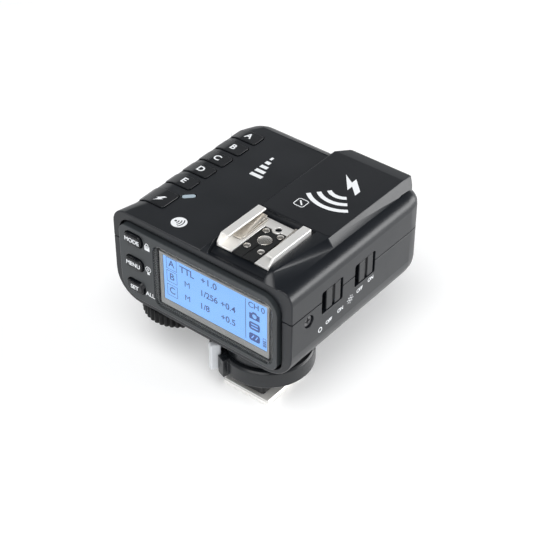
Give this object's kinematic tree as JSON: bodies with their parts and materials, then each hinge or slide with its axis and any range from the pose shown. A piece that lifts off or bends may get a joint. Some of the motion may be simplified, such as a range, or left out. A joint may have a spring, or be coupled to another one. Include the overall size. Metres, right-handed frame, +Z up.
{
  "type": "wireless flash trigger",
  "caption": "Wireless flash trigger: rear display and buttons, group keys, select dial, slide switches, pass-through hot shoe and a locking camera foot.",
  "frame": {"origin": "centre of the underside of the camera foot, where it meets a camera's shoe", "axes": "+X to the right when reading the display, +Y from the display towards the lens side, +Z up out of the camera's shoe"},
  "size_m": [0.072, 0.072, 0.0601],
  "materials": {
    "housing_plastic": "satin moulded, fine grain",
    "panel_plastic": "satin moulded, fine grain",
    "clear_window": "clear polished",
    "display_bezel": "satin",
    "display_blue": "back-lit display",
    "lamp_lens": "frosted",
    "red_window": "polished",
    "bright_metal": "bright nickel plate",
    "spring_metal": "rolled spring strip",
    "gold_contact": "gold plate",
    "circuit_board": "solder mask",
    "key_plastic": "satin",
    "cell_jacket": "printed sleeve",
    "screw_steel": "blackened",
    "ring_plastic": "satin",
    "lever_plastic": "satin light grey",
    "dark_plastic": "satin"
  },
  "bodies": {
    "housing": {"top_cover": "housing_plastic", "bottom_case": "housing_plastic", "rear_panel": "panel_plastic", "display_window": "clear_window", "display_frame": "display_bezel", "display_cell": "display_blue", "status_lamp": "lamp_lens", "assist_lamp_window": "red_window", "usb_socket": "bright_metal", "sync_jack": "dark_plastic", "main_board": "circuit_board", "key_board": "circuit_board", "radio_board": "circuit_board", "switch_block": "dark_plastic", "dial_encoder": "bright_metal", "shoe_frame": "bright_metal", "shoe_insulator": "dark_plastic", "shoe_contact_centre": "bright_metal", "shoe_contact_1": "bright_metal", "shoe_contact_2": "bright_metal", "shoe_contact_3": "bright_metal", "shoe_contact_4": "bright_metal", "shoe_leaf_left": "spring_metal", "shoe_leaf_right": "spring_metal", "foot_plate": "bright_metal", "foot_insulator": "dark_plastic", "neck": "dark_plastic", "neck_collar": "ring_plastic", "battery_tray": "dark_plastic", "battery_cell_rear": "cell_jacket", "battery_cell_front": "cell_jacket", "cell_spring_rear": "bright_metal", "cell_spring_front": "bright_metal", "cell_plate_rear": "bright_metal", "cell_plate_front": "bright_metal", "side_screw": "screw_steel", "base_screw_1": "screw_steel", "base_screw_2": "screw_steel", "base_screw_3": "screw_steel"},
    "group_key_a": {"group_key_a": "key_plastic"},
    "group_key_b": {"group_key_b": "key_plastic"},
    "group_key_c": {"group_key_c": "key_plastic"},
    "group_key_d": {"group_key_d": "key_plastic"},
    "group_key_e": {"group_key_e": "key_plastic"},
    "test_key": {"test_key": "key_plastic"},
    "mode_button": {"mode_button": "key_plastic"},
    "menu_button": {"menu_button": "key_plastic"},
    "set_button": {"set_button": "key_plastic"},
    "power_switch_knob": {"power_switch_knob": "key_plastic"},
    "lamp_switch_knob": {"lamp_switch_knob": "key_plastic"},
    "select_dial": {"select_dial": "dark_plastic"},
    "lock_pin": {"lock_pin": "bright_metal"},
    "battery_door": {"battery_door": "housing_plastic"},
    "foot_pin_centre": {"foot_pin_centre": "gold_contact"},
    "foot_pin_1": {"foot_pin_1": "gold_contact"},
    "foot_pin_2": {"foot_pin_2": "gold_contact"},
    "foot_pin_3": {"foot_pin_3": "gold_contact"},
    "foot_pin_4": {"foot_pin_4": "gold_contact"},
    "lock_ring": {"lock_ring": "ring_plastic", "lock_lever": "lever_plastic"}
  },
  "joints": [
    {"name": "group_key_a_press", "type": "slide", "parent": "housing", "child": "group_key_a", "axis": [0, 0, -1], "range_m": [0, 0.0005], "stiffness_N_per_m": 2000, "springref_m": -0.0001},
    {"name": "group_key_b_press", "type": "slide", "parent": "housing", "child": "group_key_b", "axis": [0, 0, -1], "range_m": [0, 0.0005], "stiffness_N_per_m": 2000, "springref_m": -0.0001},
    {"name": "group_key_c_press", "type": "slide", "parent": "housing", "child": "group_key_c", "axis": [0, 0, -1], "range_m": [0, 0.0005], "stiffness_N_per_m": 2000, "springref_m": -0.0001},
    {"name": "group_key_d_press", "type": "slide", "parent": "housing", "child": "group_key_d", "axis": [0, 0, -1], "range_m": [0, 0.0005], "stiffness_N_per_m": 2000, "springref_m": -0.0001},
    {"name": "group_key_e_press", "type": "slide", "parent": "housing", "child": "group_key_e", "axis": [0, 0, -1], "range_m": [0, 0.0005], "stiffness_N_per_m": 2000, "springref_m": -0.0001},
    {"name": "test_key_press", "type": "slide", "parent": "housing", "child": "test_key", "axis": [0, 0, -1], "range_m": [0, 0.0005], "stiffness_N_per_m": 2000, "springref_m": -0.0001},
    {"name": "mode_button_press", "type": "slide", "parent": "housing", "child": "mode_button", "axis": [0, 1, 0], "range_m": [0, 0.0005], "stiffness_N_per_m": 2000, "springref_m": -0.0001},
    {"name": "menu_button_press", "type": "slide", "parent": "housing", "child": "menu_button", "axis": [0, 1, 0], "range_m": [0, 0.0005], "stiffness_N_per_m": 2000, "springref_m": -0.0001},
    {"name": "set_button_press", "type": "slide", "parent": "housing", "child": "set_button", "axis": [0, 1, 0], "range_m": [0, 0.0005], "stiffness_N_per_m": 2000, "springref_m": -0.0001},
    {"name": "power_switch_slide", "type": "slide", "parent": "housing", "child": "power_switch_knob", "axis": [0, -1, 0], "range_m": [0, 0.002]},
    {"name": "lamp_switch_slide", "type": "slide", "parent": "housing", "child": "lamp_switch_knob", "axis": [0, -1, 0], "range_m": [0, 0.002]},
    {"name": "select_dial_turn", "type": "hinge", "parent": "housing", "child": "select_dial", "pos_m": [-0.0335, -0.0025, 0.0154], "axis": [0, 0, 1], "continuous": true},
    {"name": "lock_ring_turn", "type": "hinge", "parent": "housing", "child": "lock_ring", "pos_m": [0, 0.0015, 0.0116], "axis": [0, 0, 1], "range_deg": [0, 60]},
    {"name": "lock_pin_drop", "type": "slide", "parent": "housing", "child": "lock_pin", "axis": [0, 0, -1], "range_m": [0, 0.00161]},
    {"name": "battery_door_slide", "type": "slide", "parent": "housing", "child": "battery_door", "axis": [0, 1, 0], "range_m": [0, 0.032]},
    {"name": "foot_pin_centre_press", "type": "slide", "parent": "housing", "child": "foot_pin_centre", "axis": [0, 0, 1], "range_m": [0, 0.0004], "stiffness_N_per_m": 1000, "springref_m": -0.0002},
    {"name": "foot_pin_1_press", "type": "slide", "parent": "housing", "child": "foot_pin_1", "axis": [0, 0, 1], "range_m": [0, 0.0004], "stiffness_N_per_m": 1000, "springref_m": -0.0002},
    {"name": "foot_pin_2_press", "type": "slide", "parent": "housing", "child": "foot_pin_2", "axis": [0, 0, 1], "range_m": [0, 0.0004], "stiffness_N_per_m": 1000, "springref_m": -0.0002},
    {"name": "foot_pin_3_press", "type": "slide", "parent": "housing", "child": "foot_pin_3", "axis": [0, 0, 1], "range_m": [0, 0.0004], "stiffness_N_per_m": 1000, "springref_m": -0.0002},
    {"name": "foot_pin_4_press", "type": "slide", "parent": "housing", "child": "foot_pin_4", "axis": [0, 0, 1], "range_m": [0, 0.0004], "stiffness_N_per_m": 1000, "springref_m": -0.0002}
  ],
  "couplings": [
    {"joint": "lock_pin_drop", "follows": "lock_ring_turn", "m_per_rad": 0.0015279}
  ]
}
